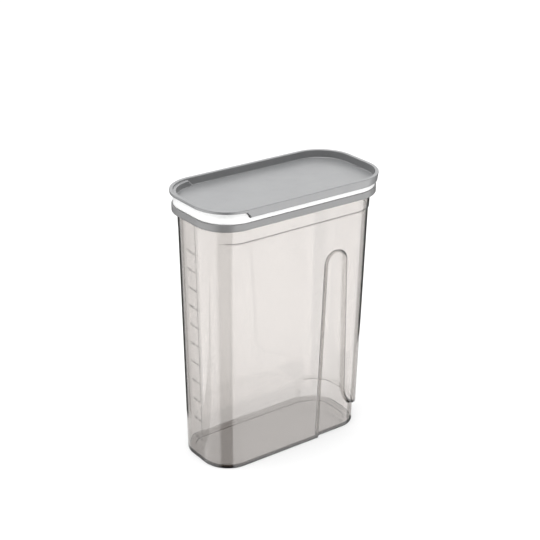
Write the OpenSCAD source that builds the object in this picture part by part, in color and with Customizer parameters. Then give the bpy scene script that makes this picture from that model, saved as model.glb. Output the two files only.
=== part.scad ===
// Tall cereal container with a flip cover over its pour opening.
// +Z is up, X is the long way of the box with the finger lip at -X and the
// hinge at +X, Y is the narrow way. The origin is the centre of the base.

/* [Body] */
// Half length of the body at the base
base_a = 88.3; // [86:0.1:91]
// Half width of the body at the base
base_b = 37.6; // [35:0.1:38]
// Corner radius of the body in plan at the base
base_r = 27.5; // [25:0.1:33]
// Rounding of the base's lower edge
base_edge = 1.6; // [1:0.1:2.4]
// Corner radius of the body in plan at the mouth
body_r = 31.8; // [28:0.1:33]
// Draft of the end walls, mm outward per mm of height
draft_a = 0.026; // [0.010:0.0005:0.030]
// Draft of the long walls, mm outward per mm of height
draft_b = 0.0217; // [0.012:0.0001:0.022]
// Wall thickness of the body
wall = 1.6; // [1.4:0.1:2.4]
// Thickness of the floor
floor_t = 3; // [2:0.1:5]
// Height of the body's rim
body_h = 251.1; // [251.1:0.1:251.1]

/* [Ledge] */
// Height of the step under the mouth
ledge_z = 232.5; // [215:0.5:238]
// Depth of the step on the front, back and right end
ledge_d = 0.9; // [0.4:0.1:1.4]

/* [Grip channel] */
// Depth of the channel
chan_d = 3.2; // [1.5:0.1:4]
// Left side of the channel at the base
chan_x0 = 28.3; // [20:0.1:34]
// Left side of the channel at its arched top
chan_top_x = 31.6; // [24:0.1:38]
// Width of the channel at its arched top
chan_w = 21.4; // [18:0.1:28]
// Height of the centre of the arched top
chan_z = 186; // [120:1:200]
// Right side of the channel where it turns into the foot
chan_x1 = 57.3; // [54:0.1:62]
// Height of the stepped-in foot round the right end
foot_z = 22.5; // [15:0.5:40]
// Radius of the turn from the channel into the foot
turn_r = 24.5; // [6:0.5:30]
// Left end of the foot on the back
back_x = 58; // [50:0.5:66]

/* [Collar] */
// Half length of the collar
collar_a = 98.2; // [97.6:0.05:98.4]
// Half width of the collar
collar_b = 47.5; // [46.9:0.05:47.6]
// Corner radius of the collar
collar_r = 32.7; // [31.4:0.1:33.4]
// Underside of the collar
collar_z0 = 245.7; // [242.5:0.1:247]
// Top of the collar
collar_z1 = 253.1; // [253.1:0.1:253.1]

/* [Lid frame] */
// Inset of the white ring from the cover's outline
ring_in = 3.15; // [3.1:0.05:3.3]
// Top of the white ring under the cover's skirt
ring_z = 257.2; // [256.6:0.1:257.2]
// Top of the deck
deck_z = 256.3; // [255.9:0.1:256.3]
// Right side of the pour opening
pour_x = -48; // [-60:1:-30]
// Lower end of the plug skirt
plug_z = 246.4; // [245.7:0.1:248.2]

/* [Cover] */
// Half length of the cover
cov_a = 100; // [99.5:0.1:100.5]
// Half width of the cover
cov_b = 50.25; // [50:0.05:50.5]
// Corner radius of the cover
cov_r = 35.7; // [35:0.1:36]
// Top of the stacking rim
rim_z = 266.3; // [265.5:0.1:267.5]
// Bottom of the skirt
skirt_z = 258.3; // [258.3:0.1:258.3]
// Draft of the skirt's outer face, from the rim to its lower edge
skirt_in = 0.9; // [0:0.1:1.1]
// Thickness of the rim
rim_t = 3.5; // [3.2:0.1:3.8]
// Top of the recessed panel
panel_z = 258.7; // [258.7:0.1:258.9]
// Where the finger lip ends
lip_x = -66.9; // [-74:0.1:-60]
// Underside of the finger lip
lip_z = 263.4; // [262.9:0.1:263.4]

/* [Hinge] */
// Hinge axis, along the length
hinge_x = 97; // [97:0.1:97]
// Hinge axis, height
hinge_z = 255.3; // [255.3:0.1:255.3]
// Radius of the knuckles
knuckle_r = 1.8; // [1.7:0.05:1.8]
// Radius of the pin
pin_r = 0.8; // [0.7:0.05:0.9]
// Running clearance of the cover's knuckle on the pin
pin_gap = 0.05; // [0.03:0.01:0.08]
// Half width of the cover's knuckle
knuckle_y = 5.8; // [4:0.1:7]
// Half width of the whole hinge
hinge_y = 12; // [10:0.5:13]

/* [Scale] */
// Proud height of the printed scale
ink_t = 0.15; // [0.1:0.05:0.3]
// Volume step between numbers, ml
ml_step = 250; // [250:250:500]
// Highest number, ml
ml_top = 2750; // [2000:250:2750]

/* [Hidden] */
$fn = 96;
eps = 0.01;

// Half sizes of the body's outer wall at height z, above or below the ledge
function ba(z) = base_a + draft_a * z;
function bb(z) = base_b + draft_b * z - (z < ledge_z ? ledge_d : 0);
function upper_b(z) = base_b + draft_b * z;
function lower_r(z) = base_r + (body_r - ledge_d - base_r) * z / (ledge_z + 0.2);
top_a = ba(body_h);
top_b = upper_b(body_h);

// Rounded rectangle from exact squares and circles
module rr(a, b, r, dx = 0) {
    translate([dx, 0]) {
        square([2 * a, 2 * (b - r)], center = true);
        square([2 * (a - r), 2 * b], center = true);
        for (i = [-1, 1], j = [-1, 1])
            translate([i * (a - r), j * (b - r)]) circle(r);
    }
}
// Flat slab of the rounded rectangle
module slab(a, b, r, z, h, dx = 0) {
    translate([0, 0, z]) linear_extrude(h) rr(a, b, r, dx);
}
// Upright ring between two outlines
module band(a, b, r, t, z0, z1) {
    translate([0, 0, z0]) linear_extrude(z1 - z0) difference() {
        rr(a, b, r);
        rr(a - t, b - t, r - t);
    }
}

// Drafted solid of the lower body, inset by g all round. The step under the
// mouth is taken off the front, the back and the right end only.
module lower_hull(g, z0, edge) {
    z1 = ledge_z + 0.2;
    hull() {
        slab(ba(z0) - g - edge, base_b + (draft_b * (ledge_z) - ledge_d) / ledge_z * z0 - g - edge,
             lower_r(z0) - g - edge, z0, eps, $fn = 64);
        slab(ba(z0 + edge) - g, base_b + (draft_b * (ledge_z) - ledge_d) / ledge_z * (z0 + edge) - g,
             lower_r(z0 + edge) - g, z0 + edge, eps, $fn = 64);
        slab(ba(z1) - ledge_d / 2 - g, base_b + draft_b * ledge_z - ledge_d - g,
             body_r - ledge_d - g, z1 - eps, eps, -ledge_d / 2, $fn = 64);
    }
}
// Drafted solid of the mouth above the ledge
module upper_hull(g, z0, z1) {
    hull() {
        slab(ba(z0) - g, upper_b(z0) - g, body_r - g, z0, eps, $fn = 64);
        slab(ba(z1) - g, upper_b(z1) - g, body_r - g, z1 - eps, eps, $fn = 64);
    }
}
// Front outline of the grip channel and the foot, grown by g
module channel_2d(g) {
    r = chan_w / 2;
    translate([chan_top_x + r, chan_z]) circle(r + g);
    polygon([[chan_x0 - g, -20], [chan_x0 - g, 0], [chan_top_x - g, chan_z], [chan_top_x + chan_w + g, chan_z],
             [chan_x1 + g, foot_z + turn_r], [chan_x1 + g, -20]]);
    translate([chan_x0, -20]) square([150, 20 + foot_z + g]);
    // concave turn from the channel into the foot
    difference() {
        translate([chan_x1 - 1, foot_z - 1]) square(turn_r + 1);
        translate([chan_x1 + turn_r, foot_z + turn_r]) circle(turn_r - g);
    }
}
// Back outline of the foot, grown by g
module foot_2d(g) {
    r = 8;
    translate([back_x + r, -20]) square([150, 20 + foot_z + g]);
    translate([back_x - g, -20]) square([r + g + 1, 20 + foot_z - r]);
    translate([back_x + r, foot_z - r]) circle(r + g);
}
// The grip channel is on the front only, the foot runs round the right end
module channel(g) {
    rotate([90, 0, 0]) linear_extrude(80) channel_2d(g);
    rotate([90, 0, 0]) translate([0, 0, -80]) linear_extrude(80 + eps) foot_2d(g);
}

module body() {
    color([0.86, 0.85, 0.83, 0.35])
    difference() {
        union() {
            difference() {
                lower_hull(0, 0, base_edge);
                channel(0);
            }
            intersection() {
                lower_hull(chan_d, 0, base_edge);
                translate([chan_x0 - 5, -60, -1]) cube([90, 120, chan_z + chan_w / 2 + 6]);
            }
            upper_hull(0, ledge_z, body_h);
        }
        difference() {
            lower_hull(wall, floor_t, 2);
            difference() {
                channel(wall);
                lower_hull(wall + chan_d, floor_t, 2);
            }
        }
        upper_hull(wall, ledge_z, body_h + 0.01);
    }
}

module collar() {
    in_a = top_a + 0.25;
    in_b = top_b + 0.25;
    in_r = body_r + 0.25;
    color([0.60, 0.60, 0.60])
    difference() {
        union() {
            slab(collar_a, collar_b, collar_r, collar_z0 + 1.4, collar_z1 - collar_z0 - 1.4);
            slab(collar_a - 0.4, collar_b - 0.4, collar_r - 0.4, collar_z0 + 0.6, 0.81);
            slab(collar_a - 1.1, collar_b - 1.1, collar_r - 1.1, collar_z0, 0.61);
        }
        slab(in_a, in_b, in_r, collar_z0 - 1, body_h - collar_z0 + 1);
        slab(top_a - wall, top_b - wall, body_r - wall, body_h - 1, 10);
    }
}

// Height above the base that a volume fills to, from the drafted cavity
function rect_area(a, b, r) = 4 * a * b - (4 - PI) * r * r;
cav_a0 = rect_area(base_a - wall, base_b - wall, base_r - wall);
cav_a1 = rect_area(ba(ledge_z) - wall, bb(ledge_z - 1) - wall, body_r - wall);
cav_k = (cav_a1 - cav_a0) / (2 * ledge_z);
function fill_z(ml) = floor_t + (-cav_a0 + sqrt(cav_a0 * cav_a0 + 4 * cav_k * ml * 1000)) / (2 * cav_k);

// Seven-stroke figures, 1.4 wide and 2.6 tall
function strokes(d) =
    d == 0 ? [1, 1, 1, 0, 1, 1, 1] : d == 1 ? [0, 0, 1, 0, 0, 1, 0] :
    d == 2 ? [1, 0, 1, 1, 1, 0, 1] : d == 3 ? [1, 0, 1, 1, 0, 1, 1] :
    d == 4 ? [0, 1, 1, 1, 0, 1, 0] : d == 5 ? [1, 1, 0, 1, 0, 1, 1] :
    d == 6 ? [1, 1, 0, 1, 1, 1, 1] : d == 7 ? [1, 0, 1, 0, 0, 1, 0] :
    d == 8 ? [1, 1, 1, 1, 1, 1, 1] : [1, 1, 1, 1, 0, 1, 1];
fig_w = 1.5;
fig_h = 2.8;
fig_s = 0.38;
module figure_2d(d) {
    s = strokes(d);
    h = fig_h / 2;
    if (s[0]) translate([0, fig_h - fig_s]) square([fig_w, fig_s]);
    if (s[1]) translate([0, h - fig_s / 2]) square([fig_s, h + fig_s / 2]);
    if (s[2]) translate([fig_w - fig_s, h - fig_s / 2]) square([fig_s, h + fig_s / 2]);
    if (s[3]) translate([0, h - fig_s / 2]) square([fig_w, fig_s]);
    if (s[4]) square([fig_s, h + fig_s / 2]);
    if (s[5]) translate([fig_w - fig_s, 0]) square([fig_s, h + fig_s / 2]);
    if (s[6]) square([fig_w, fig_s]);
}
// The letters m and l, starting at x = 0
module ml_2d() {
    for (i = [0 : 2]) translate([i * 0.85, 0]) square([fig_s, 1.9]);
    translate([0, 1.9 - fig_s]) square([1.7 + fig_s, fig_s]);
    translate([2.75, 0]) square([fig_s, fig_h]);
}
// A whole number, its last figure ending at x = 0
module number_2d(n, k = 0) {
    translate([-(k + 1) * (fig_w + 0.55) + 0.55, 0]) figure_2d(n % 10);
    if (n >= 10) number_2d(floor(n / 10), k + 1);
}
scale_y = -7.6;
scale_z0 = 24;
scale_z1 = 244;
// The scale as seen from the left end: u runs toward -Y
module scale_2d() {
    translate([-scale_y - 0.2, scale_z0]) square([0.4, scale_z1 - scale_z0]);
    for (v = [ml_step : ml_step : ml_top]) {
        translate([-scale_y + 0.1, fill_z(v) - 0.2]) square([3.2, 0.4]);
        translate([-scale_y - 4.2, fill_z(v) - fig_h / 2]) ml_2d();
        translate([-scale_y - 5.2, fill_z(v) - fig_h / 2]) number_2d(v);
    }
    for (v = [300 : 50 : ml_top + 100])
        if (v % ml_step != 0)
            translate([-scale_y + 0.1, fill_z(v) - 0.15]) square([1.5, 0.3]);
}
module scale_marks() {
    color([0.45, 0.45, 0.45])
    difference() {
        intersection() {
            rotate([90, 0, -90]) translate([0, 0, 70]) linear_extrude(40) scale_2d();
            union() {
                lower_hull(-ink_t, 0, base_edge);
                upper_hull(-ink_t, ledge_z, body_h);
            }
        }
        lower_hull(0, 0, base_edge);
        upper_hull(0, ledge_z, body_h);
    }
}

// Outline of the white ring and of the plug skirt
ring_a = cov_a - ring_in;
ring_b = cov_b - ring_in;
ring_r = cov_r - ring_in;
plug_a = top_a - wall - 1.25;
plug_b = top_b - wall - 1.25;
plug_r = body_r - wall - 1.25;
plug_t = 1.6;
pour_in = plug_t + 1.5;

module pour_2d(g) {
    r = 6;
    intersection() {
        rr(plug_a - pour_in - g, plug_b - pour_in - g, plug_r - pour_in - g);
        union() {
            translate([-150, -60]) square([150 + pour_x - r - g, 120]);
            translate([pour_x - r - g, 0]) {
                square([2 * r, 2 * (plug_b - pour_in - r - g)], center = true);
                for (j = [-1, 1]) translate([0, j * (plug_b - pour_in - r - g)]) circle(r);
                translate([-10, -60]) square([10, 120]);
            }
        }
    }
}

module lid_frame() {
    color([0.97, 0.97, 0.96])
    difference() {
        union() {
            // flange on the collar, and the ring wall
            slab(ring_a, ring_b, ring_r, collar_z1, deck_z - collar_z1);
            band(ring_a, ring_b, ring_r, 1.6, collar_z1, ring_z);
            // pouring lip round the left end
            intersection() {
                band(ring_a, ring_b, ring_r, 1.2, collar_z1, lip_z - 0.3);
                rotate([90, 0, 0]) translate([0, 0, -60]) linear_extrude(120)
                    polygon([[-120, 250], [lip_x + 3.9, 250], [lip_x + 3.9, ring_z],
                             [lip_x - 0.7, lip_z - 0.3], [lip_x - 0.7, 270], [-120, 270]]);
            }
            // plug skirt inside the mouth
            band(plug_a, plug_b, plug_r, plug_t, plug_z, collar_z1 + eps);
            // raised bead round the pour opening
            translate([0, 0, plug_z + 4]) linear_extrude(collar_z1 - plug_z - 4 + eps) difference() {
                pour_2d(-1.5);
                pour_2d(0);
            }
            // outer knuckles of the hinge
            for (s = [-1, 1]) translate([hinge_x, s * (knuckle_y + 0.3), hinge_z])
                rotate([-90 * s, 0, 0]) cylinder(r = knuckle_r, h = hinge_y - knuckle_y - 0.3);
            for (s = [-1, 1])
                translate([hinge_x - 2.4, s > 0 ? knuckle_y + 0.3 : -hinge_y, hinge_z - knuckle_r])
                    cube([2.4, hinge_y - knuckle_y - 0.3, 2 * knuckle_r]);
        }
        // underside of the deck, inside the plug and round the opening's bead
        difference() {
            slab(plug_a - plug_t, plug_b - plug_t, plug_r - plug_t, collar_z1 - 1, 2);
            translate([0, 0, plug_z]) linear_extrude(20) pour_2d(-1.5);
        }
        translate([0, 0, plug_z]) linear_extrude(20) pour_2d(0);
        // groove for the mouth seal
        translate([0, 0, plug_z + 1.6]) linear_extrude(2.8) difference() {
            rr(plug_a + 2, plug_b + 2, plug_r + 2);
            rr(plug_a - 0.8, plug_b - 0.8, plug_r - 0.8);
        }
        // pocket for the cover's knuckle
        translate([hinge_x - 2.35, -knuckle_y - 0.3, collar_z1 - 1])
            cube([10, 2 * knuckle_y + 0.6, 12]);
        // hole for the pin
        translate([hinge_x, 0, hinge_z]) rotate([90, 0, 0])
            cylinder(r = pin_r, h = 2 * hinge_y + 2, center = true);
    }
}

module mouth_seal() {
    color([0.88, 0.88, 0.87])
    translate([0, 0, plug_z + 1.6]) linear_extrude(2.8) difference() {
        rr(plug_a + 0.9, plug_b + 0.9, plug_r + 0.9);
        rr(plug_a - 0.8, plug_b - 0.8, plug_r - 0.8);
    }
}

module hinge_pin() {
    color([0.75, 0.76, 0.78])
    translate([hinge_x, 0, hinge_z]) rotate([90, 0, 0])
        cylinder(r = pin_r, h = 2 * hinge_y - 0.6, center = true);
}

// Room for the pouring lip of the frame under the finger lip
module lip_cut() {
    difference() {
        rotate([90, 0, 0]) translate([0, 0, -60]) linear_extrude(120)
            polygon([[-120, 240], [lip_x + 4.4, 240], [lip_x + 4.4, skirt_z],
                     [lip_x, lip_z], [-120, lip_z]]);
        slab(cov_a - 4.65, cov_b - 4.65, cov_r - 4.65, 240, 40);
    }
}
seal_z = panel_z - 1.9;

module flip_cover() {
    color([0.70, 0.70, 0.70])
    difference() {
        union() {
            difference() {
                union() {
                    // stacking rim and skirt, its outer face drafted
                    difference() {
                        hull() {
                            slab(cov_a - skirt_in, cov_b - skirt_in, cov_r - skirt_in, skirt_z, eps, $fn = 64);
                            slab(cov_a, cov_b, cov_r, rim_z - 1, 1, $fn = 64);
                        }
                        slab(cov_a - rim_t, cov_b - rim_t, cov_r - rim_t, skirt_z - 1, 20);
                    }
                    // web of the panel under the rim
                    slab(cov_a - 2, cov_b - 2, cov_r - 2, ring_z + 0.3, panel_z - ring_z - 0.3);
                }
                lip_cut();
            }
            // recessed panel
            slab(cov_a - 6, cov_b - 6, cov_r - 6, seal_z, panel_z - seal_z);
            // inner step of the rim at the left end
            intersection() {
                union() {
                    band(cov_a - 4.65, cov_b - 4.65, cov_r - 4.65, 1.65, ring_z + 0.3, rim_z - 1.8);
                    band(cov_a - 3.3, cov_b - 3.3, cov_r - 3.3, 3, lip_z, rim_z - 1.8);
                }
                rotate([90, 0, 0]) translate([0, 0, -60]) linear_extrude(120)
                    polygon([[-120, 240], [lip_x + 5.9, 240], [lip_x + 5.9, panel_z],
                             [lip_x + 0.1, rim_z - 1.8], [lip_x + 0.1, 280], [-120, 280]]);
            }
            // wall that drops into the pour opening
            translate([0, 0, seal_z - 2.2]) linear_extrude(2.2 + eps) difference() {
                pour_2d(0.6);
                pour_2d(2.0);
            }
            // knuckle of the hinge and its web
            translate([hinge_x, 0, hinge_z]) rotate([90, 0, 0])
                cylinder(r = knuckle_r, h = 2 * knuckle_y, center = true);
            translate([hinge_x - 1.2, -knuckle_y, hinge_z])
                cube([2.4, 2 * knuckle_y, skirt_z - hinge_z + 1]);
        }
        // bore on the hinge pin
        translate([hinge_x, 0, hinge_z]) rotate([90, 0, 0])
            cylinder(r = pin_r + pin_gap, h = 2 * knuckle_y + 2, center = true);
        // groove for the spout seal
        translate([0, 0, seal_z - eps]) linear_extrude(1) difference() {
            pour_2d(-4);
            pour_2d(-1.2);
        }
    }
}

module spout_seal() {
    color([0.88, 0.88, 0.87])
    translate([0, 0, deck_z + 0.15]) linear_extrude(seal_z + 0.99 - deck_z - 0.15) difference() {
        pour_2d(-4);
        pour_2d(-1.2);
    }
}

body();
collar();
scale_marks();
lid_frame();
mouth_seal();
hinge_pin();
flip_cover();
spout_seal();
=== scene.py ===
import math
import bpy
import bmesh
import numpy as np
from mathutils import Matrix, Vector
from mathutils.geometry import tessellate_polygon


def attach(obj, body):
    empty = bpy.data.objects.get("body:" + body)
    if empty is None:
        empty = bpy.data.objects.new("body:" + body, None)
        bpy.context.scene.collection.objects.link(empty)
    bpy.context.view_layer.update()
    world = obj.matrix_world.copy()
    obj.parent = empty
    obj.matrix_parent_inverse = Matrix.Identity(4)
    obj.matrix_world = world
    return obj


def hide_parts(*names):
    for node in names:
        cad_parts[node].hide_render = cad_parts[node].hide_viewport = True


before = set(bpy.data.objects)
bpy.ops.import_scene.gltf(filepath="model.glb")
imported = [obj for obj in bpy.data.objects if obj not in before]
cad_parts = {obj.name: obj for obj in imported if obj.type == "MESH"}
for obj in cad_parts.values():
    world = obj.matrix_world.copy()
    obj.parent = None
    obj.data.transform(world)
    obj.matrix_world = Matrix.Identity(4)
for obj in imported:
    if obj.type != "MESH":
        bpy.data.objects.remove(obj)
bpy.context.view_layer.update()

scene = bpy.context.scene
rad = math.radians

# ------------------------------------------------------------------ sizes, mm
BASE_A, BASE_B, BASE_PR, BODY_R = 88.3, 37.6, 27.5, 31.8
DRAFT_A, DRAFT_B, WALL, FLOOR_T, BODY_H = 0.026, 0.0217, 1.6, 3.0, 251.1
LEDGE_Z, LEDGE_D = 232.5, 0.9
CH_D, CH_X0, CH_TOP_X, CH_W, CH_Z, CH_X1, FOOT_Z, TURN_R = 3.2, 28.3, 31.6, 21.4, 186.0, 57.3, 22.5, 24.5
BACK_X = 58.0
TOP_A, TOP_B = BASE_A + DRAFT_A * BODY_H, BASE_B + DRAFT_B * BODY_H
COL = (98.2, 47.5, 32.7)
COL_Z0, COL_Z1 = 245.7, 253.1
COV = (100.0, 50.25, 35.7)
RIM_Z, SKIRT_Z, PANEL_Z, SEAL_Z, SKIRT_IN = 266.3, 258.3, 258.7, 256.8, 0.9
LIP_X, LIP_Z = -66.9, 263.4
RING_Z, DECK_Z, PLUG_Z = 257.2, 256.3, 246.4
PLUG = (TOP_A - WALL - 1.25, TOP_B - WALL - 1.25, BODY_R - WALL - 1.25)
POUR_X, POUR_IN = -48.0, 3.1
HINGE_X, HINGE_Z, KN_R, KN_Y, HINGE_Y, PIN_R = 97.0, 255.3, 1.8, 5.8, 12.0, 0.8


def sm(t):
    """Smooth step of t from 0 to 1."""
    t = min(1.0, max(0.0, t))
    return t * t * t * (t * (6 * t - 15) + 10)


def mix(a, b, t):
    return a + (b - a) * t


def arc(cx, cz, r, a0, a1, n):
    """Points of a circle in a profile, angles in degrees."""
    return [(cx + r * math.cos(rad(a0 + (a1 - a0) * i / n)),
             cz + r * math.sin(rad(a0 + (a1 - a0) * i / n))) for i in range(n + 1)]


# ------------------------------------------------------------- mesh building
class Shell:
    """Closed loops of points in mm, bridged into one surface."""

    def __init__(self):
        self.v, self.f = [], []

    def loop(self, pts):
        i = len(self.v)
        self.v.extend(pts)
        return list(range(i, i + len(pts)))

    def bridge(self, a, b):
        n = len(a)
        for i in range(n):
            j = (i + 1) % n
            self.f.append((a[i], a[j], b[j], b[i]))

    def loft(self, loops, closed=False):
        for a, b in zip(loops, loops[1:]):
            self.bridge(a, b)
        if closed:
            self.bridge(loops[-1], loops[0])

    def ladder(self, a):
        """Caps a loop that is its own mirror image in Y."""
        n = len(a)
        m = n // 2
        for i in range(m):
            p, q, r, s = a[i], a[i + 1], a[(n - i - 1) % n], a[(n - i) % n]
            if i == 0:
                self.f.append((p, q, r))
            elif i == m - 1:
                self.f.append((p, q, s))
            else:
                self.f.append((p, q, r, s))

    def fill(self, outer, *holes):
        idx = [*outer] + [k for h in holes for k in h]
        polys = [[Vector((*self.v[k][:2], 0)) for k in loop] for loop in (outer, *holes)]
        for t in tessellate_polygon(polys):
            if len(set(t)) == 3:
                self.f.append(tuple(idx[k] for k in t))

    def mesh(self, name):
        me = bpy.data.meshes.new(name)
        me.from_pydata([(x / 1000, y / 1000, z / 1000) for x, y, z in self.v], [], self.f)
        bm = bmesh.new()
        bm.from_mesh(me)
        bmesh.ops.remove_doubles(bm, verts=bm.verts, dist=2e-7)
        bmesh.ops.dissolve_degenerate(bm, edges=bm.edges, dist=1e-7)
        bmesh.ops.recalc_face_normals(bm, faces=bm.faces)
        bm.to_mesh(me)
        bm.free()
        return me


def add_object(name, me):
    o = bpy.data.objects.new(name, me)
    scene.collection.objects.link(o)
    return o


def finish_piece(o, mat, body, node, angle=32, weighted=True):
    me = o.data
    me.materials.clear()
    me.materials.append(mat)
    me.shade_smooth()
    me.set_sharp_from_angle(angle=rad(angle))
    if weighted:
        w = o.modifiers.new("normals", "WEIGHTED_NORMAL")
        w.keep_sharp = True
        w.weight = 50
    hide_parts(node)
    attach(o, body)
    return o


def boolean(o, tool, op):
    """Applies one exact boolean to o's mesh and removes the tool."""
    m = o.modifiers.new("b", "BOOLEAN")
    m.operation, m.object, m.solver = op, tool, "EXACT"
    dg = bpy.context.evaluated_depsgraph_get()
    me = bpy.data.meshes.new_from_object(o.evaluated_get(dg))
    o.modifiers.clear()
    old = o.data
    o.data = me
    me.name = o.name
    bpy.data.meshes.remove(old)
    tm = tool.data
    bpy.data.objects.remove(tool)
    bpy.data.meshes.remove(tm)


def lathe_y(name, prof, cx, cz, n=40):
    """Solid of revolution about the hinge axis; prof is (y, r) in mm from end to end."""
    s = Shell()
    loops = [s.loop([(cx + r * math.cos(2 * math.pi * k / n), y, cz + r * math.sin(2 * math.pi * k / n))
                     for k in range(n)]) for y, r in prof]
    s.loft(loops)
    s.f.append(tuple(loops[0]))
    s.f.append(tuple(loops[-1]))
    return add_object(name, s.mesh(name))


def block(name, x0, x1, y0, y1, z0, z1):
    s = Shell()
    a = s.loop([(x0, y0, z0), (x1, y0, z0), (x1, y1, z0), (x0, y1, z0)])
    b = s.loop([(x0, y0, z1), (x1, y0, z1), (x1, y1, z1), (x0, y1, z1)])
    s.bridge(a, b)
    s.f.append(tuple(a))
    s.f.append(tuple(b))
    return add_object(name, s.mesh(name))


# A station of an outline: (kind, value, nx, ny). kind "x" is a fixed X on a long
# side, "s" a share of the centre rectangle; corners and ends are shares too.
def half_stations(left_end, left_corner, front, right_corner, right_end):
    out = []
    for s in left_end:
        out.append(("s", -1.0, -s, -1.0, 0.0))
    for d in left_corner:
        out.append(("s", -1.0, -1.0, math.cos(rad(d)), math.sin(rad(d))))
    for kind, x in front:
        out.append((kind, x, -1.0, 0.0, -1.0))
    for d in right_corner:
        out.append(("s", 1.0, -1.0, math.cos(rad(d)), math.sin(rad(d))))
    for s in right_end:
        out.append(("s", 1.0, -s, 1.0, 0.0))
    return out


def full(half):
    """Half outline at y <= 0, from the left end's middle to the right end's, and its mirror."""
    mirror = [(k, x, -s, nx, -ny) for k, x, s, nx, ny in half[1:-1]][::-1]
    return half + mirror


def at(st, a, b, r, dx=0.0, depth=0.0):
    """Point of an outline of half sizes a, b and corner radius r at a station."""
    k, x, s, nx, ny = st
    cx = x if k == "x" else (a - r) * x + dx
    return cx + (r - depth) * nx, (b - r) * s + (r - depth) * ny


def steps(a, b, d):
    n = max(1, round(abs(b - a) / d))
    return [a + (b - a) * i / n for i in range(n + 1)]


# ------------------------------------------------------------------ materials
def new_mat(name):
    m = bpy.data.materials.new(name)
    m.use_nodes = True
    nt = m.node_tree
    nt.nodes.clear()
    out = nt.nodes.new("ShaderNodeOutputMaterial")
    bsdf = nt.nodes.new("ShaderNodeBsdfPrincipled")
    nt.links.new(bsdf.outputs[0], out.inputs["Surface"])
    return m, nt, bsdf, out


def noise(nt, scale, detail=2.0, rough=0.5, coords=None):
    tc = coords or nt.nodes.new("ShaderNodeTexCoord")
    n = nt.nodes.new("ShaderNodeTexNoise")
    n.inputs["Scale"].default_value = scale
    n.inputs["Detail"].default_value = detail
    n.inputs["Roughness"].default_value = rough
    nt.links.new(tc.outputs["Object"], n.inputs["Vector"])
    return n


def spread(nt, src, lo, hi, f0=0.3, f1=0.7):
    m = nt.nodes.new("ShaderNodeMapRange")
    m.inputs["From Min"].default_value = f0
    m.inputs["From Max"].default_value = f1
    m.inputs["To Min"].default_value = lo
    m.inputs["To Max"].default_value = hi
    nt.links.new(src, m.inputs["Value"])
    return m.outputs[0]


def tint(nt, fac, c0, c1):
    m = nt.nodes.new("ShaderNodeMix")
    m.data_type = "RGBA"
    m.inputs["A"].default_value = (*c0, 1)
    m.inputs["B"].default_value = (*c1, 1)
    nt.links.new(fac, m.inputs["Factor"])
    return m.outputs["Result"]


def bump(nt, bsdf, heights, dist):
    """heights: list of (socket, strength)."""
    last = None
    for h, s in heights:
        b = nt.nodes.new("ShaderNodeBump")
        b.inputs["Strength"].default_value = s
        b.inputs["Distance"].default_value = dist
        nt.links.new(h, b.inputs["Height"])
        if last:
            nt.links.new(last.outputs[0], b.inputs["Normal"])
        last = b
    nt.links.new(last.outputs[0], bsdf.inputs["Normal"])


def satin_plastic(name, c0, c1, r0, r1, grain, grain_scale, spec=0.5, ior=1.5, coat=0.0):
    """Moulded plastic: slow mottling, a fine moulded grain and slightly uneven gloss."""
    m, nt, b, out = new_mat(name)
    big = noise(nt, 22, 3.0, 0.6)
    fine = noise(nt, grain_scale, 2.0, 0.6)
    nt.links.new(tint(nt, spread(nt, big.outputs["Fac"], 0, 1), c0, c1), b.inputs["Base Color"])
    nt.links.new(spread(nt, noise(nt, 60, 3.0, 0.6).outputs["Fac"], r0, r1), b.inputs["Roughness"])
    b.inputs["Specular IOR Level"].default_value = spec
    b.inputs["IOR"].default_value = ior
    b.inputs["Coat Weight"].default_value = coat
    b.inputs["Coat Roughness"].default_value = 0.34
    bump(nt, b, [(fine.outputs["Fac"], grain), (big.outputs["Fac"], 0.12)], 0.0004)
    return m


def lin(*c):
    return tuple((x / 12.92 if x <= 0.04045 else ((x + 0.055) / 1.055) ** 2.4)
                 for x in (k / 255 for k in c))


GREY0, GREY1 = (0.136, 0.138, 0.141), (0.150, 0.152, 0.155)
cover_mat = satin_plastic("grey_satin_plastic", GREY0, GREY1, 0.28, 0.36, 0.10, 2200, 0.9, 1.6)
collar_mat = satin_plastic("grey_collar_plastic", (0.140, 0.140, 0.140), (0.154, 0.154, 0.154),
                           0.29, 0.37, 0.06, 2200, 0.62, 1.6)
white_mat = satin_plastic("white_plastic", (0.88, 0.88, 0.878), (0.90, 0.90, 0.898),
                          0.24, 0.32, 0.04, 1800)

clear_mat, nt, b, out = new_mat("clear_plastic")
b.inputs["Base Color"].default_value = (1, 1, 1, 1)
b.inputs["IOR"].default_value = 1.5
b.inputs["Transmission Weight"].default_value = 1.0
nt.links.new(spread(nt, noise(nt, 45, 3.0, 0.6).outputs["Fac"], 0.0, 0.035), b.inputs["Roughness"])
bump(nt, b, [(noise(nt, 26, 2.0, 0.5).outputs["Fac"], 0.035)], 0.0006)
vol = nt.nodes.new("ShaderNodeVolumeAbsorption")
vol.inputs["Color"].default_value = (0.553, 0.513, 0.483, 1)
vol.inputs["Density"].default_value = 400
nt.links.new(vol.outputs[0], out.inputs["Volume"])

silicone_mat, nt, b, out = new_mat("silicone")
sil = noise(nt, 30, 2.0, 0.5)
nt.links.new(tint(nt, spread(nt, sil.outputs["Fac"], 0, 1), (0.74, 0.745, 0.74), (0.80, 0.80, 0.795)),
             b.inputs["Base Color"])
nt.links.new(spread(nt, noise(nt, 90, 2.0, 0.6).outputs["Fac"], 0.34, 0.46), b.inputs["Roughness"])
b.inputs["Subsurface Weight"].default_value = 0.25
b.inputs["Subsurface Radius"].default_value = (0.0016, 0.0015, 0.0013)
b.inputs["Subsurface Scale"].default_value = 1.0
bump(nt, b, [(noise(nt, 1500, 2.0, 0.6).outputs["Fac"], 0.08)], 0.0003)

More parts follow.
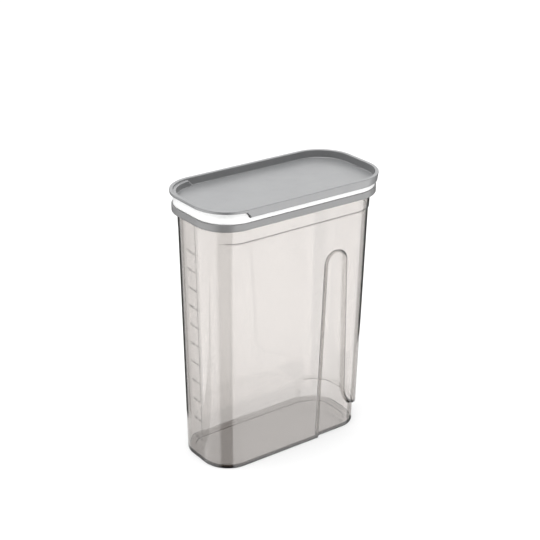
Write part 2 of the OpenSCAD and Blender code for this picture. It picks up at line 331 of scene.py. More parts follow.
steel_mat, nt, b, out = new_mat("pin_steel")
b.inputs["Metallic"].default_value = 1.0
wv = nt.nodes.new("ShaderNodeTexNoise")
tc = nt.nodes.new("ShaderNodeTexCoord")
mp = nt.nodes.new("ShaderNodeMapping")
mp.inputs["Scale"].default_value = (90, 4000, 90)
nt.links.new(tc.outputs["Object"], mp.inputs["Vector"])
nt.links.new(mp.outputs[0], wv.inputs["Vector"])
wv.inputs["Scale"].default_value = 1.0
nt.links.new(tint(nt, wv.outputs["Fac"], (0.52, 0.53, 0.54), (0.66, 0.67, 0.68)), b.inputs["Base Color"])
nt.links.new(spread(nt, wv.outputs["Fac"], 0.20, 0.34), b.inputs["Roughness"])
bump(nt, b, [(wv.outputs["Fac"], 0.10)], 0.00005)

ink_mat, nt, b, out = new_mat("scale_ink")
inkn = noise(nt, 900, 3.0, 0.6)
nt.links.new(tint(nt, spread(nt, inkn.outputs["Fac"], 0, 1), lin(112, 110, 108), lin(134, 132, 130)),
             b.inputs["Base Color"])
nt.links.new(spread(nt, inkn.outputs["Fac"], 0.45, 0.62), b.inputs["Roughness"])
bump(nt, b, [(inkn.outputs["Fac"], 0.10)], 0.0001)


# ----------------------------------------------------------------------- body
def lower(z):
    """Half sizes, corner radius and shift of the body's outer wall under the ledge."""
    k = z / (LEDGE_Z + 0.2)
    return (BASE_A + DRAFT_A * z - LEDGE_D / 2 * k,
            BASE_B + (DRAFT_B * LEDGE_Z - LEDGE_D) / LEDGE_Z * z,
            mix(BASE_PR, BODY_R - LEDGE_D, k), -LEDGE_D / 2 * k)


def upper(z):
    return BASE_A + DRAFT_A * z, BASE_B + DRAFT_B * z, BODY_R, 0.0


def body_size(z, inner=False):
    t = sm((z - (LEDGE_Z - (1.0 if inner else 1.9))) / 1.25)
    return tuple(mix(p, q, t) for p, q in zip(lower(min(z, LEDGE_Z)), upper(z)))


TURN_Z = FOOT_Z + TURN_R
LEAN = (CH_X1 - CH_TOP_X - CH_W) / (CH_Z - TURN_Z)
LEAN_L = (CH_TOP_X - CH_X0) / CH_Z


def channel_sd(x, z):
    """Distance in from the edge of the grip channel and the stepped-in foot."""
    if z >= TURN_Z:
        dr = CH_X1 - (min(z, CH_Z) - TURN_Z) * LEAN - x
    elif x < CH_X1 + TURN_R:
        dr = math.hypot(x - CH_X1 - TURN_R, z - TURN_Z) - TURN_R
    else:
        dr = FOOT_Z - z
    d = min(x - CH_X0 - LEAN_L * min(z, CH_Z), dr)
    if z > CH_Z:
        d = min(d, CH_W / 2 - math.hypot(x - CH_TOP_X - CH_W / 2, z - CH_Z))
    return d


def foot_sd(x, z, q=8.0):
    """The same for the back, where only the foot is stepped in."""
    dx, dz = x - BACK_X - q, FOOT_Z - q - z
    if dx < 0 and dz < 0:
        return q - math.hypot(dx, dz)
    return min(x - BACK_X, FOOT_Z - z)


def recess(x, z, grow, front):
    if x < CH_X0 - 6 or z > CH_Z + CH_W:
        return 0.0
    d = (channel_sd(x, z) if front else foot_sd(x, z)) + grow
    w = CH_EDGE + 0.35 * grow
    return CH_D * sm(d / w + 0.5)


CH_EDGE = 1.2


def slide(u, z):
    """Columns near the channel's sides lean with them."""
    sh = -LEAN * (min(max(z, TURN_Z), CH_Z) - TURN_Z)
    sl = LEAN_L * min(z, CH_Z)
    return u + sl * sm((u - 12) / 12) * (1 - sm((u - 33) / 16)) + sh * sm((u - 33) / 16)


B_HALF = half_stations(
    [0.0, 0.5],
    steps(180, 270, 3.75)[:-1],
    [("s", -1.0)] + [("x", x) for x in
                     [-56, -48, -40, -32, -24, -16, -8, 0, 7, 13, 18, 22, 25, 26.4]
                     + steps(27.1, 30.2, 0.155) + steps(30.5, 55.4, 0.36) + steps(55.6, 60.4, 0.2)],
    steps(270, 275, 0.5)[:-1] + steps(275, 360, 1.25),
    [0.5, 0.0])
B_ST = full(B_HALF)

z_rows = ([1.7, 2.3, 3.0, 3.9, 5.0, 6.5, 8.5, 11.0, 13.5, 16.0, 18.2, 19.8] + steps(20.9, 24.2, 0.16) + steps(24.6, 48.6, 0.5)
          + steps(51, 180, 4.4) + steps(181.5, 184, 0.8) + steps(184.4, 199.4, 0.3)
          + [200.4, 202.2, 205.0, 208.0, 213.0, 220.0, 227.0, 229.6] + steps(230.4, 233.0, 0.13)
          + [233.3, 234.2, 238.0, 244.0, 248.6])
z_rows = sorted(set(round(z, 3) for z in z_rows))


def body_loop(s, z, inset, inner):
    a, bb, r, dx = body_size(max(z, 0.0), inner)
    g = inset + (WALL if inner else 0.0)
    pts = []
    for st in B_ST:
        if st[0] == "x":
            st = (st[0], slide(st[1], z), *st[2:])
        x, y = at(st, a - g, bb - g, r - g, dx)
        x0, _ = at(st, a, bb, r, dx) if not inner else (x, y)
        dep = recess(x0, z, WALL if inner else 0.0, st[4] < 0.0)
        if dep:
            x, y = x - st[3] * dep, y - st[4] * dep
        pts.append((x, y, z))
    return s.loop(pts)


body = Shell()
loops = []
# underside: a shallow recess inside a standing rim, then the base's small round edge
BASE_R, FLOOR_R, TOP_R = 1.6, 1.6, WALL / 2 - 0.1
for z, g in [(0.6, 12.0), (0.6, 9.4), (0.5, 8.9), (0.25, 8.5), (0.05, 8.1), (0.0, 7.6), (0.0, 3.0), (0.0, 2.0)]:
    loops.append(body_loop(body, z, g, False))
for g, z in arc(BASE_R, BASE_R, BASE_R, 270, 180, 6):
    loops.append(body_loop(body, z, g, False))
for z in z_rows:
    loops.append(body_loop(body, z, 0.0, False))
for g, z in arc(TOP_R, BODY_H - TOP_R, TOP_R, 180, 90, 4):
    loops.append(body_loop(body, z, g, False))
for g, z in arc(WALL - TOP_R, BODY_H - TOP_R, TOP_R, 90, 0, 4):
    loops.append(body_loop(body, z, g - WALL, True))
for z in z_rows[::-1]:
    if z > FLOOR_T + FLOOR_R + 0.3:
        loops.append(body_loop(body, z, 0.0, True))
for g, z in arc(FLOOR_R, FLOOR_T + FLOOR_R, FLOOR_R, 180, 270, 6):
    loops.append(body_loop(body, z, g, True))
loops.append(body_loop(body, FLOOR_T, 3.5, True))
loops.append(body_loop(body, FLOOR_T, 7.0, True))
body.loft(loops)
body.ladder(loops[0])
body.ladder(loops[-1])
o = add_object("clear_body", body.mesh("clear_body"))
finish_piece(o, clear_mat, "container", "body", angle=60)
CLEAR = o


# ----------------------------------------------------------------- fill scale
def end_x(y, z, out):
    """X of the body's left end wall at (y, z), out mm proud of it."""
    a, bb, r, dx = body_size(z)
    over = max(0.0, abs(y) - (bb - r))
    return dx - (a - r) - math.sqrt((r + out) ** 2 - over ** 2)


def fill_z(ml):
    ra = lambda a, b, r: 4 * a * b - (4 - math.pi) * r * r
    a0 = ra(BASE_A - WALL, BASE_B - WALL, BASE_PR - WALL)
    a1 = ra(BASE_A + DRAFT_A * LEDGE_Z - WALL,
            BASE_B + DRAFT_B * (LEDGE_Z - 1) - LEDGE_D - WALL, BODY_R - WALL)
    k = (a1 - a0) / (2 * LEDGE_Z)
    return FLOOR_T + (-a0 + math.sqrt(a0 * a0 + 4 * k * ml * 1000)) / (2 * k)


INK0, INK1, SCALE_Y = 0.02, 0.15, -7.6
ink = Shell()


def ink_bar(y0, y1, z0, z1, rows=1):
    """A printed bar on the end wall, following its curve."""
    ys, zs = steps(y0, y1, 0.9), [mix(z0, z1, i / rows) for i in range(rows + 1)]
    grid = {}
    for side, out in ((0, INK0), (1, INK1)):
        for i, z in enumerate(zs):
            for j, y in enumerate(ys):
                grid[side, i, j] = len(ink.v)
                ink.v.append((end_x(y, z, out), y, z))
    ni, nj = len(zs), len(ys)
    for side in (0, 1):
        for i in range(ni - 1):
            for j in range(nj - 1):
                ink.f.append((grid[side, i, j], grid[side, i + 1, j], grid[side, i + 1, j + 1], grid[side, i, j + 1]))
    for i in range(ni - 1):
        for j in (0, nj - 1):
            ink.f.append((grid[0, i, j], grid[0, i + 1, j], grid[1, i + 1, j], grid[1, i, j]))
    for j in range(nj - 1):
        for i in (0, ni - 1):
            ink.f.append((grid[0, i, j], grid[0, i, j + 1], grid[1, i, j + 1], grid[1, i, j]))


ink_bar(SCALE_Y - 0.2, SCALE_Y + 0.2, 24, 244, 60)
for v in range(250, 2751, 250):
    ink_bar(SCALE_Y - 3.3, SCALE_Y - 0.2, fill_z(v) - 0.2, fill_z(v) + 0.2)
for v in range(300, 2851, 50):
    if v % 250:
        ink_bar(SCALE_Y - 1.4, SCALE_Y - 0.2, fill_z(v) - 0.15, fill_z(v) + 0.15)


def add_number(text, y_right, z_mid, height):
    """A number in Blender's own plain typeface, read from outside the end wall."""
    cu = bpy.data.curves.new("t", "FONT")
    cu.body, cu.size, cu.extrude, cu.align_x = text, height / 0.70, 0.5, "RIGHT"
    cu.resolution_u = 3
    t = bpy.data.objects.new("t", cu)
    scene.collection.objects.link(t)
    me = bpy.data.meshes.new_from_object(t.evaluated_get(bpy.context.evaluated_depsgraph_get()))
    base = len(ink.v)
    for p in me.vertices:
        x, y, z = p.co
        yy, zz = y_right - x, z_mid - height / 2 + y
        ink.v.append((end_x(yy, zz, INK1 if z > 0 else INK0), yy, zz))
    for f in me.polygons:
        ink.f.append(tuple(base + k for k in f.vertices))
    bpy.data.objects.remove(t)
    bpy.data.curves.remove(cu)
    bpy.data.meshes.remove(me)


for v in range(250, 2751, 250):
    add_number(str(v) + " ml", SCALE_Y + 1.1, fill_z(v), 2.8)
o = add_object("fill_scale", ink.mesh("fill_scale"))
finish_piece(o, ink_mat, "container", "scale_marks", weighted=False)

# --------------------------------------------------------------------- collar
C_HALF = half_stations(
    [0.0, 0.35, 0.7],
    steps(180, 258, 2.6)[:-1] + steps(258, 270, 0.6)[:-1],
    [("s", -1.0)] + [("s", s) for s in [-0.995, -0.99, -0.985, -0.98, -0.975, -0.97, -0.965, -0.96, -0.955,
                                       -0.95, -0.945, -0.94, -0.93, -0.91, -0.88, -0.78, -0.64, -0.5, -0.36,
                                       -0.22, -0.08, 0.08, 0.22, 0.36, 0.5, 0.64, 0.78, 0.9]],
    steps(270, 360, 2.6),
    [0.7, 0.35, 0.0])
C_ST = full(C_HALF)


def grown(size, g):
    return size[0] + g, size[1] + g, size[2] + g


def ring_loop(s, size, z, st=C_ST):
    """A level loop, or one whose height and growth depend on the station."""
    pts = []
    for k in st:
        if callable(z):
            g, zz = z(k)
            x, y = at(k, *grown(size, g))
            pts.append((x, y, zz))
        else:
            x, y = at(k, *size)
            pts.append((x, y, z))
    return s.loop(pts)


IN = (TOP_A + 0.25, TOP_B + 0.25, BODY_R + 0.25)
MOUTH = (TOP_A - WALL, TOP_B - WALL, BODY_R - WALL)
s = Shell()
loops = [ring_loop(s, grown(IN, 0.15), COL_Z0 + 0.05), ring_loop(s, grown(IN, 0.4), COL_Z0)]
loops += [ring_loop(s, grown(COL, -g), z) for g, z in
          [(1.6, COL_Z0)] + arc(1.4, COL_Z0 + 1.4, 1.4, 268, 182, 7) + [(0.0, COL_Z0 + 1.8)]]
loops += [ring_loop(s, grown(COL, -g), z) for g, z in
          [(0.0, COL_Z1 - 2.0), (0.0, COL_Z1 - 0.75)] + arc(0.7, COL_Z1 - 0.7, 0.7, 180, 90, 5)]
loops += [ring_loop(s, grown(MOUTH, g), z) for g, z in
          [(0.6, COL_Z1), (0.25, COL_Z1 - 0.08), (0.05, COL_Z1 - 0.3), (0.0, COL_Z1 - 0.7), (0.0, BODY_H + 0.25),
           (0.25, BODY_H + 0.03), (0.6, BODY_H)]]
loops += [ring_loop(s, grown(IN, g), z) for g, z in
          [(-0.1, BODY_H), (0.0, BODY_H - 0.1), (0.0, BODY_H - 2.5), (0.0, COL_Z0 + 0.25)]]
s.loft(loops, closed=True)
o = add_object("collar_ring", s.mesh("collar_ring"))
finish_piece(o, collar_mat, "container", "collar")

# ------------------------------------------------------------ the pour outline
P_SIZE = (PLUG[0] - POUR_IN, PLUG[1] - POUR_IN, PLUG[2] - POUR_IN)


def pour_pts(g):
    """Outline of the pour opening, g mm in from its edge, counter-clockwise."""
    a, bb, r = P_SIZE[0] - g, P_SIZE[1] - g, P_SIZE[2] - g
    q = 6.0
    pts = []
    for d in steps(270, 360, 7.5):
        pts.append((POUR_X - g - q + q * math.cos(rad(d)), -(bb - q) + q * math.sin(rad(d))))
    for y in (-0.66, -0.33, 0.0, 0.33, 0.66):
        pts.append((POUR_X - g, y * (bb - q)))
    for d in steps(0, 90, 7.5):
        pts.append((POUR_X - g - q + q * math.cos(rad(d)), (bb - q) + q * math.sin(rad(d))))
    for d in steps(90, 180, 3.0):
        pts.append((-(a - r) + r * math.cos(rad(d)), (bb - r) + r * math.sin(rad(d))))
    for y in (0.5, 0.0, -0.5):
        pts.append((-a, y * (bb - r)))
    for d in steps(180, 270, 3.0):
        pts.append((-(a - r) + r * math.cos(rad(d)), -(bb - r) + r * math.sin(rad(d))))
    return pts


def pour_loop(s, g, z):
    return s.loop([(x, y, z) for x, y in pour_pts(g)])


# ------------------------------------------------------------------ lid frame
RING = grown(COV, -3.15)


def lip_share(x, x0, x1):
    """1 left of x0, 0 right of x1, with softened ends."""
    t = (x1 - x) / (x1 - x0)
    if t <= -0.12:
        return 0.0
    if t >= 1.12:
        return 1.0
    if t < 0.12:
        return (t + 0.12) ** 2 / 0.48
    if t > 0.88:
        return 1 - (1.12 - t) ** 2 / 0.48
    return t


FR_LIP = LIP_X
s = Shell()


def fr(g_reg, g_lip, dz, top=None):
    """Row of the ring wall: growth beside the lip and on it, height below its top."""
    def f(st):
        x = at(st, *RING)[0]
        t = lip_share(x, FR_LIP - 0.7, FR_LIP + 3.9)
        ztop = mix(RING_Z, LIP_Z - 0.3, t)
        k = 1.0 if t > 0.02 else 0.0
        return (mix(g_reg, g_lip, min(1.0, t * 3)), ztop - dz if top is None else top)
    return f


loops = [ring_loop(s, RING, fr(-0.35, -0.35, 0, COL_Z1)), ring_loop(s, RING, fr(-0.08, -0.08, 0, COL_Z1 + 0.1)),
         ring_loop(s, RING, fr(0, 0, 0, COL_Z1 + 0.35)), ring_loop(s, RING, fr(0, 0, 0, RING_Z - 0.9)),
         ring_loop(s, RING, fr(0, 0, 0.45))]
loops += [ring_loop(s, RING, fr(-g, -g, 0.35 - h)) for g, h in
          [(0.03, 0.13), (0.10, 0.25), (0.22, 0.33), (0.38, 0.35)]]
loops += [ring_loop(s, RING, fr(-1.6 + g, -1.2 + g, 0.35 - h)) for g, h in
          [(0.38, 0.35), (0.22, 0.33), (0.10, 0.25), (0.03, 0.13), (0.0, 0.0)]]
loops += [ring_loop(s, RING, fr(-1.6, -1.2, 0, z)) for z in (DECK_Z + 0.45,)]
loops += [ring_loop(s, RING, fr(-1.6 - g, -1.2 - g, 0, DECK_Z + h)) for g, h in
          [(0.03, 0.28), (0.12, 0.12), (0.28, 0.03), (0.45, 0.0), (1.2, 0.0)]]
s.loft(loops)
deck_out = loops[-1]
ring_foot = loops[0]
# pour opening: rounded top edge, wall, round bead under the deck
BEAD_Z, UNDER_Z, GROOVE_Z = PLUG_Z + 4.0, COL_Z1 + 1.0, PLUG_Z + 1.6
p = [pour_loop(s, g, z) for g, z in
     [(-0.9, DECK_Z)] + [(-0.45 + 0.45 * math.sin(rad(d)), DECK_Z - 0.45 + 0.45 * math.cos(rad(d)))
                         for d in (0, 22, 45, 68, 90)]
     + [(0, DECK_Z - 2.5), (0, BEAD_Z + 0.8)]
     + [(-0.75 + 0.75 * math.cos(rad(d)), BEAD_Z + 0.75 - 0.75 * math.sin(rad(d)))
        for d in (15, 45, 70, 90, 110, 135, 165)]
     + [(-1.5, BEAD_Z + 0.8), (-1.5, UNDER_Z - 0.4), (-1.62, UNDER_Z - 0.12), (-1.9, UNDER_Z), (-2.6, UNDER_Z)]]
s.loft(p)
s.fill(deck_out, p[0])
# plug skirt with the seal's groove
q = [ring_loop(s, grown(PLUG, g), z) for g, z in
     [(-2.9, UNDER_Z), (-2.0, UNDER_Z), (-1.72, UNDER_Z - 0.12), (-1.6, UNDER_Z - 0.4), (-1.6, PLUG_Z + 3.3),
      (-1.6, PLUG_Z + 0.6),
      (-1.5, PLUG_Z + 0.28), (-1.3, PLUG_Z + 0.08), (-1.05, PLUG_Z), (-0.55, PLUG_Z), (-0.3, PLUG_Z + 0.08),
      (-0.1, PLUG_Z + 0.28), (0.0, PLUG_Z + 0.6), (0.0, GROOVE_Z - 0.1), (-0.12, GROOVE_Z), (-0.8, GROOVE_Z),
      (-0.8, GROOVE_Z + 2.8), (-0.12, GROOVE_Z + 2.8), (0.0, GROOVE_Z + 2.9), (0.0, COL_Z1 - 0.4), (0.12, COL_Z1 - 0.12), (0.4, COL_Z1)]]
s.loft(q)
s.fill(q[0], p[-1])
s.bridge(q[-1], ring_foot)
o = add_object("white_lid_frame", s.mesh("white_lid_frame"))
# the hinge: outer knuckles, the pocket for the cover's knuckle, the pin's hole
for sg in (-1, 1):
    y0, y1 = KN_Y + 0.3, HINGE_Y
    prof = [(sg * y, r) for y, r in [(y0, KN_R - 0.25), (y0 + 0.08, KN_R - 0.07), (y0 + 0.25, KN_R),
                                     (y1 - 0.4, KN_R), (y1 - 0.12, KN_R - 0.12), (y1, KN_R - 0.4)]]
    boolean(o, lathe_y("k", prof if sg > 0 else prof[::-1], HINGE_X, HINGE_Z), "UNION")
    boolean(o, block("k", HINGE_X - 2.6, HINGE_X, *sorted((sg * (y0 + 0.1), sg * (y1 - 0.35))),
                     HINGE_Z - KN_R + 0.03, HINGE_Z + KN_R - 0.03), "UNION")
boolean(o, block("k", HINGE_X - 2.35, HINGE_X + 8, -KN_Y - 0.3, KN_Y + 0.3, COL_Z1 - 1, COL_Z1 + 11), "DIFFERENCE")
boolean(o, lathe_y("k", [(-HINGE_Y - 1, PIN_R), (HINGE_Y + 1, PIN_R)], HINGE_X, HINGE_Z), "DIFFERENCE")
finish_piece(o, white_mat, "lid", "lid_frame")

# ------------------------------------------------------------------ mouth seal
s = Shell()
loops = [ring_loop(s, grown(PLUG, g), GROOVE_Z + h) for g, h in
         [(-0.8, 0.05), (-0.2, 0.0), (0.12, 0.02), (0.5, 0.25), (0.82, 0.5), (0.9, 0.65), (0.84, 0.8), (0.5, 0.95),
          (0.22, 1.1), (0.14, 1.35), (0.22, 1.6), (0.5, 1.72), (0.82, 1.92), (0.9, 2.08), (0.84, 2.22), (0.5, 2.45),
          (0.12, 2.75), (-0.2, 2.8), (-0.8, 2.75)]]
s.loft(loops, closed=True)
o = add_object("mouth_gasket", s.mesh("mouth_gasket"))
finish_piece(o, silicone_mat, "lid", "mouth_seal", angle=50, weighted=False)

# ------------------------------------------------------------------- hinge pin
prof = [(-11.7, 0.45), (-11.62, 0.62), (-11.45, 0.74), (-11.2, 0.79), (-10.9, 0.8), (-8.2, 0.8), (-8.15, 0.77),
        (-8.05, 0.77), (-8.0, 0.8), (-7.6, 0.8), (-7.55, 0.77), (-7.45, 0.77), (-7.4, 0.8), (7.4, 0.8), (7.45, 0.77),
        (7.55, 0.77), (7.6, 0.8), (8.0, 0.8), (8.05, 0.77), (8.15, 0.77), (8.2, 0.8), (10.9, 0.8), (11.2, 0.79),
        (11.45, 0.74), (11.62, 0.62), (11.7, 0.45)]
o = lathe_y("steel_pin", prof, HINGE_X, HINGE_Z, 32)
finish_piece(o, steel_mat, "lid", "hinge_pin", weighted=False)

# ------------------------------------------------------------------ flip cover
s = Shell()
STEP_X = LIP_X + 0.1


def cv(g_reg, z_reg, g_lip=None, z_lip=None, skirt=None):
    """Row of the cover: inset and height on the plain rim and at the finger lip.
    skirt: the row hangs that far above the skirt's lower edge instead."""
    def f(st):
        x = at(st, *COV)[0]
        if skirt is not None:
            zs = mix(SKIRT_Z, LIP_Z, lip_share(x, LIP_X, LIP_X + 4.4)) + skirt
            return -g_reg - draft_in(zs), zs
        gl, zl = (g_reg if g_lip is None else g_lip), (z_reg if z_lip is None else z_lip)
        end = STEP_X + max(0.0, RIM_Z - 1.8 - z_reg)
        t = sm((end + 0.8 - x) / 1.6)
        return -mix(g_reg, gl, t), mix(z_reg, zl, t)
    return f


def draft_in(z):
    """Inset of the skirt's drafted outer face."""
    return SKIRT_IN * min(1.0, max(0.0, (RIM_Z - 1.0 - z) / (RIM_Z - 1.0 - SKIRT_Z)))


rows = [cv(6.4, PANEL_Z, 9.2)]
# fillet from the panel to the rim's inner wall, or to the inner step at the lip
for g, h in [(1.0, 0.0), (0.75, 0.0), (0.54, 0.03), (0.34, 0.11), (0.18, 0.25), (0.07, 0.43), (0.0, 0.7)]:
    rows.append(cv(3.5 + g, PANEL_Z + h, 6.3 + g))
for k in range(1, 8):
    z = mix(PANEL_Z + 0.7, RIM_Z - 2.6, k / 8)
    rows.append(cv(3.5 - 0.005 * k, z, 6.3 - 0.005 * k))
rows += [cv(3.46, RIM_Z - h, gl, RIM_Z - hl) for h, gl, hl in
         [(2.6, 6.26, 2.45), (2.35, 6.24, 2.2), (2.2, 6.14, 1.98), (2.05, 5.98, 1.85), (1.95, 5.75, 1.8)]]
rows += [cv(3.45, RIM_Z - h, gl, RIM_Z - hl) for h, gl, hl in
         [(1.8, 3.95, 1.8), (1.68, 3.68, 1.75), (1.5, 3.5, 1.52)]]
rows.append(cv(3.44, RIM_Z - 0.8))
for d in (0, 22, 45, 68, 90):
    rows.append(cv(2.84 + 0.6 * math.cos(rad(d)), RIM_Z - 0.6 + 0.6 * math.sin(rad(d))))
rows += [cv(2.3, RIM_Z), cv(1.2, RIM_Z)]
for d in (90, 75, 60, 45, 30, 15, 0):
    rows.append(cv(0.8 - 0.8 * math.cos(rad(d)), RIM_Z - 0.8 + 0.8 * math.sin(rad(d))))
rows += [cv(0, 0, skirt=1.4), cv(0, 0, skirt=0.6), cv(0, 0, skirt=0.36)]
for d in (15, 38, 62, 90):
    rows.append(cv(0.32 - 0.32 * math.cos(rad(d)), 0, skirt=0.32 - 0.32 * math.sin(rad(d))))
rows.append(cv(0.6, 0, skirt=0.0))
WEB_Z = RING_Z + 0.3


def under(g_reg, z_reg, g_lip, dz_lip):
    """Row of the cover's underside between the skirt's edge and the panel."""
    def f(st):
        x = at(st, *COV)[0]
        t = lip_share(x, LIP_X, LIP_X + 4.4)
        k = 1.0 if t > 0.0 else 0.0
        zs = mix(SKIRT_Z, LIP_Z, t)
        return -mix(g_reg, g_lip, k), (zs + dz_lip if k and dz_lip is not None else z_reg)
    return f


rows += [under(1.85, SKIRT_Z, 4.4, 0.0), under(1.97, SKIRT_Z - 0.04, 4.58, -0.05), under(2.0, SKIRT_Z - 0.16, 4.65, -0.2),
         under(2.0, WEB_Z + 0.2, 4.65, None), under(2.06, WEB_Z + 0.04, 4.72, None), under(2.2, WEB_Z, 4.86, None),
         under(5.8, WEB_Z, 5.8, None), under(5.94, WEB_Z - 0.04, 5.94, None), under(6.0, WEB_Z - 0.15, 6.0, None),
         under(6.0, SEAL_Z + 0.15, 6.0, None), under(6.06, SEAL_Z + 0.04, 6.06, None), under(6.2, SEAL_Z, 6.2, None)]
loops = [ring_loop(s, COV, r) for r in rows]
s.loft(loops)
s.ladder(loops[0])
# underside: the seal's groove, then the wall that drops into the pour opening
p = [pour_loop(s, g, z) for g, z in
     [(-4.0, SEAL_Z), (-4.0, SEAL_Z + 0.99), (-1.2, SEAL_Z + 0.99), (-1.2, SEAL_Z), (0.3, SEAL_Z),
      (0.52, SEAL_Z - 0.08), (0.6, SEAL_Z - 0.3), (0.6, SEAL_Z - 1.65), (0.66, SEAL_Z - 1.95), (0.84, SEAL_Z - 2.14),
      (1.1, SEAL_Z - 2.2), (1.5, SEAL_Z - 2.2), (1.76, SEAL_Z - 2.14), (1.94, SEAL_Z - 1.95), (2.0, SEAL_Z - 1.65),
      (2.0, SEAL_Z - 0.3), (2.08, SEAL_Z - 0.08), (2.3, SEAL_Z)]]
s.loft(p)
s.fill(loops[-1], p[0])
s.f.append(tuple(p[-1]))
o = add_object("grey_flip_cover", s.mesh("grey_flip_cover"))
kn = [(-KN_Y, KN_R - 0.25), (-KN_Y + 0.08, KN_R - 0.07), (-KN_Y + 0.25, KN_R), (KN_Y - 0.25, KN_R),
      (KN_Y - 0.08, KN_R - 0.07), (KN_Y, KN_R - 0.25)]
boolean(o, lathe_y("k", kn, HINGE_X, HINGE_Z), "UNION")
boolean(o, block("k", HINGE_X - 1.2, HINGE_X + 1.2, -KN_Y + 0.12, KN_Y - 0.12, HINGE_Z, SKIRT_Z + 0.6), "UNION")
boolean(o, lathe_y("k", [(-KN_Y - 1, PIN_R + 0.05), (KN_Y + 1, PIN_R + 0.05)], HINGE_X, HINGE_Z), "DIFFERENCE")
finish_piece(o, cover_mat, "cover", "flip_cover")

# ------------------------------------------------------------------ spout seal
s = Shell()
loops = [pour_loop(s, g, DECK_Z + h) for g, h in
         [(-3.95, 1.44), (-3.95, 0.7), (-3.7, 0.52), (-3.3, 0.3), (-2.9, 0.19), (-2.6, 0.16),
          (-2.3, 0.19), (-1.9, 0.3), (-1.5, 0.52), (-1.25, 0.7), (-1.25, 1.44)]]
s.loft(loops, closed=True)
o = add_object("spout_gasket", s.mesh("spout_gasket"))
finish_piece(o, silicone_mat, "cover", "spout_seal", angle=50, weighted=False)

# ---------------------------------------------------------------------- camera
cam_data = bpy.data.cameras.new("camera")
cam_data.sensor_width, cam_data.lens = 36, 90.545
cam_data.clip_start, cam_data.clip_end = 0.05, 100
cam = bpy.data.objects.new("camera", cam_data)
scene.collection.objects.link(cam)
right, up, back = ((0.80507409, -0.59309049, 0.00996899), (0.23235804, 0.33078194, 0.91465461),
                   (-0.54577051, -0.73404835, 0.40411331))
cam.matrix_world = Matrix(((right[0], up[0], back[0], -0.70257904), (right[1], up[1], back[1], -0.93743918),
                           (right[2], up[2], back[2], 0.69212268), (0, 0, 0, 1)))
scene.camera = cam

# ------------------------------------------------------------ floor and light
WHITE = 1.06


def nodes_for(nt):
    def new(kind, **kw):
        n = nt.nodes.new(kind)
        for k, v in kw.items():
            setattr(n, k, v)
        return n

    def math_(op, a, b=None, clamp=False):
        n = new("ShaderNodeMath", operation=op, use_clamp=clamp)
        for i, v in enumerate((a, b)):
            if v is None:
                continue
            if isinstance(v, (int, float)):
                n.inputs[i].default_value = v
            else:
                nt.links.new(v, n.inputs[i])
        return n.outputs[0]

    def ramp(v, a, b):
        n = new("ShaderNodeMapRange", interpolation_type="SMOOTHSTEP")
        n.inputs["From Min"].default_value, n.inputs["From Max"].default_value = a, b
        nt.links.new(v, n.inputs["Value"])
        return n.outputs[0]
    return new, math_, ramp


fl = Shell()
R = 9000
rings = [fl.loop([(rr_ * math.cos(2 * math.pi * k / 48), rr_ * math.sin(2 * math.pi * k / 48), -0.05)
                  for k in range(48)]) for rr_ in (300, 1500, R)]
fl.loft(rings)
fl.f.append(tuple(rings[0]))
floor = add_object("floor", fl.mesh("floor"))
fm = bpy.data.materials.new("floor_white")
fm.use_nodes = True
nt = fm.node_tree
nt.nodes.clear()
new, math_, ramp = nodes_for(nt)
out = new("ShaderNodeOutputMaterial")
em, df, addn = new("ShaderNodeEmission"), new("ShaderNodeBsdfDiffuse"), new("ShaderNodeAddShader")
em.inputs["Color"].default_value = (1, 1, 1, 1)
df.inputs["Color"].default_value = (0.36, 0.36, 0.36, 1)
nt.links.new(em.outputs[0], addn.inputs[0])
nt.links.new(df.outputs[0], addn.inputs[1])
lp, geo, sep = new("ShaderNodeLightPath"), new("ShaderNodeNewGeometry"), new("ShaderNodeSeparateXYZ")
lit = math_("MULTIPLY", math_("GREATER_THAN", lp.outputs["Diffuse Depth"], 0.5), 0.55)
nt.links.new(math_("ADD", lit, 0.48), em.inputs["Strength"])
nt.links.new(geo.outputs["Position"], sep.inputs[0])
low = math_("ADD", sep.outputs["Y"], math_("MULTIPLY", ramp(sep.outputs["X"], 0.078, 0.088), 0.045))
high = math_("SUBTRACT", sep.outputs["Y"], math_("MULTIPLY", sep.outputs["X"], 0.17))
near = math_("MULTIPLY", ramp(low, 0.0, 0.02), ramp(high, 0.105, 0.085))
near = math_("MULTIPLY", near, ramp(sep.outputs["X"], 0.27, 0.23))
through = math_("MULTIPLY", math_("GREATER_THAN", lp.outputs["Glossy Depth"], 0.5), math_("SUBTRACT", 1.0, near))
tr, mx = new("ShaderNodeBsdfTransparent"), new("ShaderNodeMixShader")
nt.links.new(through, mx.inputs[0])
nt.links.new(addn.outputs[0], mx.inputs[1])
nt.links.new(tr.outputs[0], mx.inputs[2])
nt.links.new(mx.outputs[0], out.inputs["Surface"])
floor.data.materials.append(fm)

world = bpy.data.worlds.new("studio")
scene.world = world
world.use_nodes = True
world.cycles.sampling_method = "NONE"
nt = world.node_tree
nt.nodes.clear()
new, math_, ramp = nodes_for(nt)
wo, bg, tc, lp = (new("ShaderNodeOutputWorld"), new("ShaderNodeBackground"), new("ShaderNodeTexCoord"),
                  new("ShaderNodeLightPath"))
sep = new("ShaderNodeSeparateXYZ")
nt.links.new(tc.outputs["Generated"], sep.inputs[0])
flat, norm = new("ShaderNodeCombineXYZ"), new("ShaderNodeVectorMath", operation="NORMALIZE")
nt.links.new(sep.outputs["X"], flat.inputs["X"])
nt.links.new(sep.outputs["Y"], flat.inputs["Y"])
nt.links.new(flat.outputs[0], norm.inputs[0])


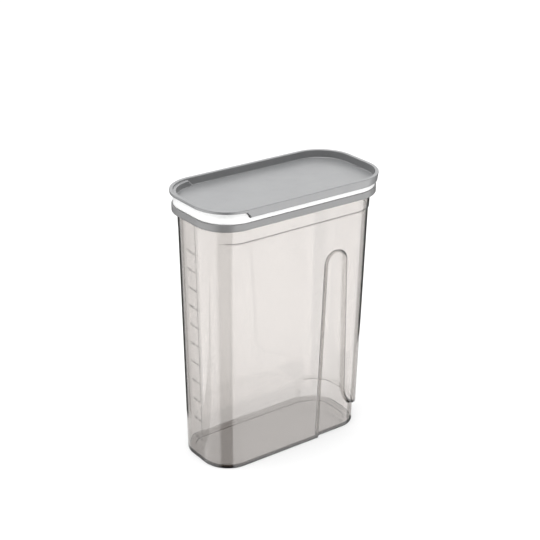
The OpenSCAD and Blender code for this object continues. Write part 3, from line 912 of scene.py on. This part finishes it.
def softbox(azimuth, half, soft, z0, z1):
    """Share of an upright softbox in a direction: its middle, half width and edge, degrees."""
    dot = new("ShaderNodeVectorMath", operation="DOT_PRODUCT")
    dot.inputs[1].default_value = (math.sin(rad(azimuth)), -math.cos(rad(azimuth)), 0)
    nt.links.new(norm.outputs[0], dot.inputs[0])
    side = ramp(dot.outputs["Value"], math.cos(rad(half + soft)), math.cos(rad(half - soft)))
    tall = math_("MULTIPLY", ramp(sep.outputs["Z"], z0 - 0.08, z0 + 0.08), ramp(sep.outputs["Z"], z1 + 0.12, z1 - 0.12))
    return math_("MULTIPLY", side, tall)


front = softbox(28, 43, 5, -0.85, 0.18)
left = softbox(254, 40, 9, -0.85, 0.18)
rear = softbox(143, 75, 12, 0.12, 0.75)
edge_r = softbox(87, 12, 3, -0.85, 0.35)
edge_l = softbox(192, 7, 3, -0.85, 0.35)
topw = ramp(sep.outputs["Z"], 0.40, 0.90)
env = math_("ADD", 0.10, math_("MULTIPLY", front, 2.8))
env = math_("ADD", env, math_("MULTIPLY", left, 2.2))
env = math_("ADD", env, math_("MULTIPLY", rear, 1.12))
env = math_("ADD", env, math_("MULTIPLY", edge_r, 0.6))
env = math_("ADD", env, math_("MULTIPLY", edge_l, 0.7))
env = math_("ADD", env, math_("MULTIPLY", topw, 1.4))
glossy = math_("GREATER_THAN", lp.outputs["Glossy Depth"], 0.5)
diffuse = math_("GREATER_THAN", lp.outputs["Diffuse Depth"], 0.5)
amb = math_("ADD", 0.20, math_("MULTIPLY", ramp(sep.outputs["Z"], 0.5, 0.9), 2.9))
amb = math_("ADD", amb, math_("MULTIPLY", softbox(72, 40, 18, -0.5, 0.6), 0.6))
amb = math_("ADD", amb, math_("MULTIPLY", softbox(235, 35, 18, -0.5, 0.6), 0.5))
val = new("ShaderNodeMix", data_type="FLOAT")
nt.links.new(diffuse, val.inputs["Factor"])
val.inputs["A"].default_value = WHITE
nt.links.new(amb, val.inputs["B"])
val2 = new("ShaderNodeMix", data_type="FLOAT")
nt.links.new(glossy, val2.inputs["Factor"])
nt.links.new(val.outputs["Result"], val2.inputs["A"])
nt.links.new(env, val2.inputs["B"])
bg.inputs["Color"].default_value = (1, 1, 1, 1)
nt.links.new(val2.outputs["Result"], bg.inputs["Strength"])
nt.links.new(bg.outputs[0], wo.inputs["Surface"])


def area(name, loc, target, size, energy):
    d = bpy.data.lights.new(name, "AREA")
    d.shape, d.size, d.size_y, d.energy = "RECTANGLE", size[0], size[1], energy
    o = bpy.data.objects.new(name, d)
    scene.collection.objects.link(o)
    o.location = loc
    o.rotation_mode = "QUATERNION"
    o.rotation_quaternion = (Vector(target) - Vector(loc)).to_track_quat("-Z", "Y")
    o.visible_camera = False
    o.visible_transmission = False
    return o


area("key_top", (-0.25, -0.15, 1.35), (0, 0, 0.2), (1.1, 0.9), 9.0)

scene.view_settings.view_transform = "Standard"
scene.view_settings.look = "None"
scene.view_settings.exposure = 0
scene.view_settings.gamma = 1
